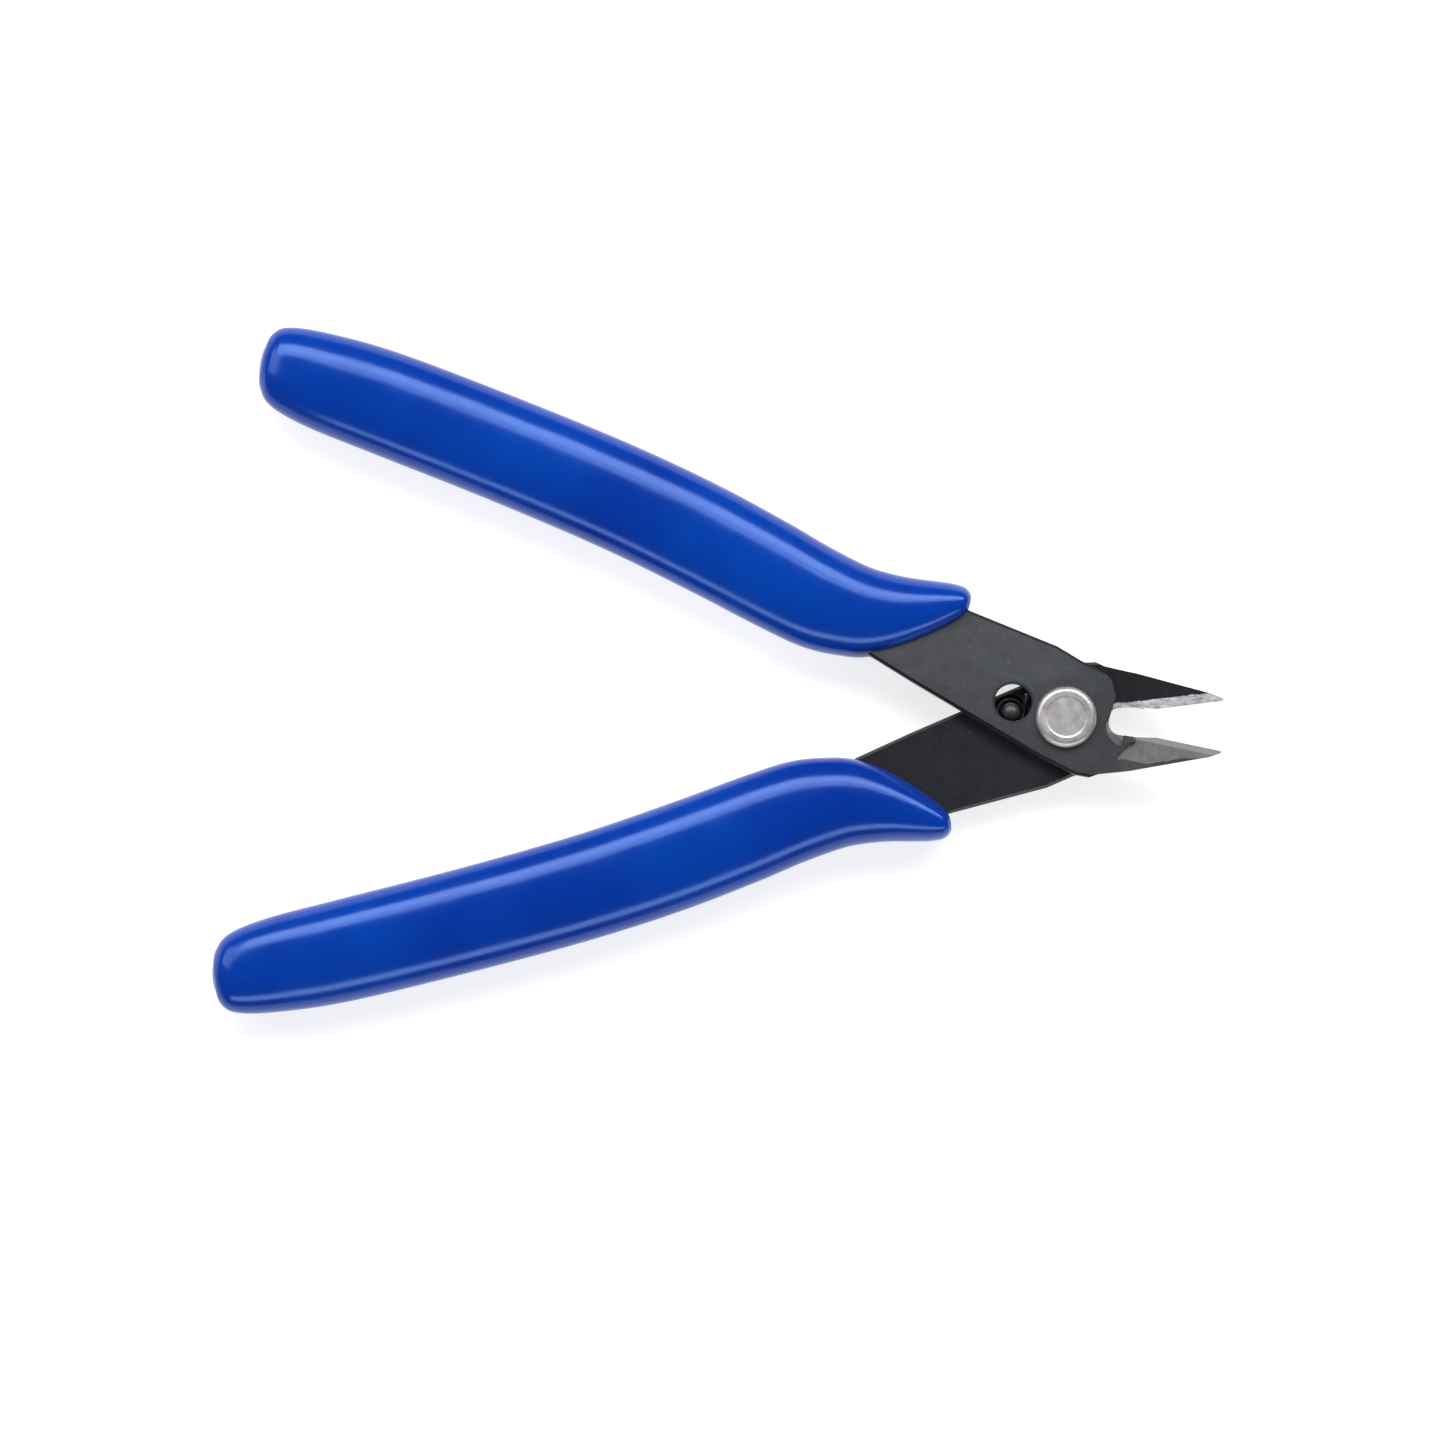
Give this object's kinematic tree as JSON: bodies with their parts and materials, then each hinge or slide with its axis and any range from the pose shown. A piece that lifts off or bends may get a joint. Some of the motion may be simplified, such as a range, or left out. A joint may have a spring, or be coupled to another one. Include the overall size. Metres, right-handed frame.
{
  "type": "flush cut pliers",
  "caption": "Small spring-return shear cutters: two lapped steel plates on a rivet, bent pointed jaws that bypass, and oval moulded sleeves with finger guards.",
  "frame": {"origin": "centre of the pivot rivet's flat tail face, on the pivot axis", "axes": "+X towards the jaw tips along the line midway between the halves, +Y towards the front half's handle, +Z along the pivot towards the rivet's head"},
  "size_m": [0.1236, 0.0865, 0.009],
  "materials": {
    "black_steel": "black oxide over stamped carbon steel, ground bright at the cutting edges",
    "rivet_steel": "plain satin steel, peened",
    "post_steel": "black oxide, smooth dome",
    "spring_steel": "oiled black music wire",
    "sleeve": "glossy soft blue PVC"
  },
  "bodies": {
    "back_half": {"back_plate": "black_steel", "back_grip": "sleeve", "pivot_rivet": "rivet_steel", "stop_post": "post_steel", "return_spring": "spring_steel"},
    "front_half": {"front_plate": "black_steel", "front_grip": "sleeve"}
  },
  "joints": [
    {"name": "pivot", "type": "hinge", "parent": "back_half", "child": "front_half", "pos_m": [0, 0, 0], "axis": [0, 0, 1], "range_deg": [0, 19], "stiffness_Nm_per_rad": 0.86, "springref_deg": -6.7, "deforming": ["return_spring"]}
  ]
}
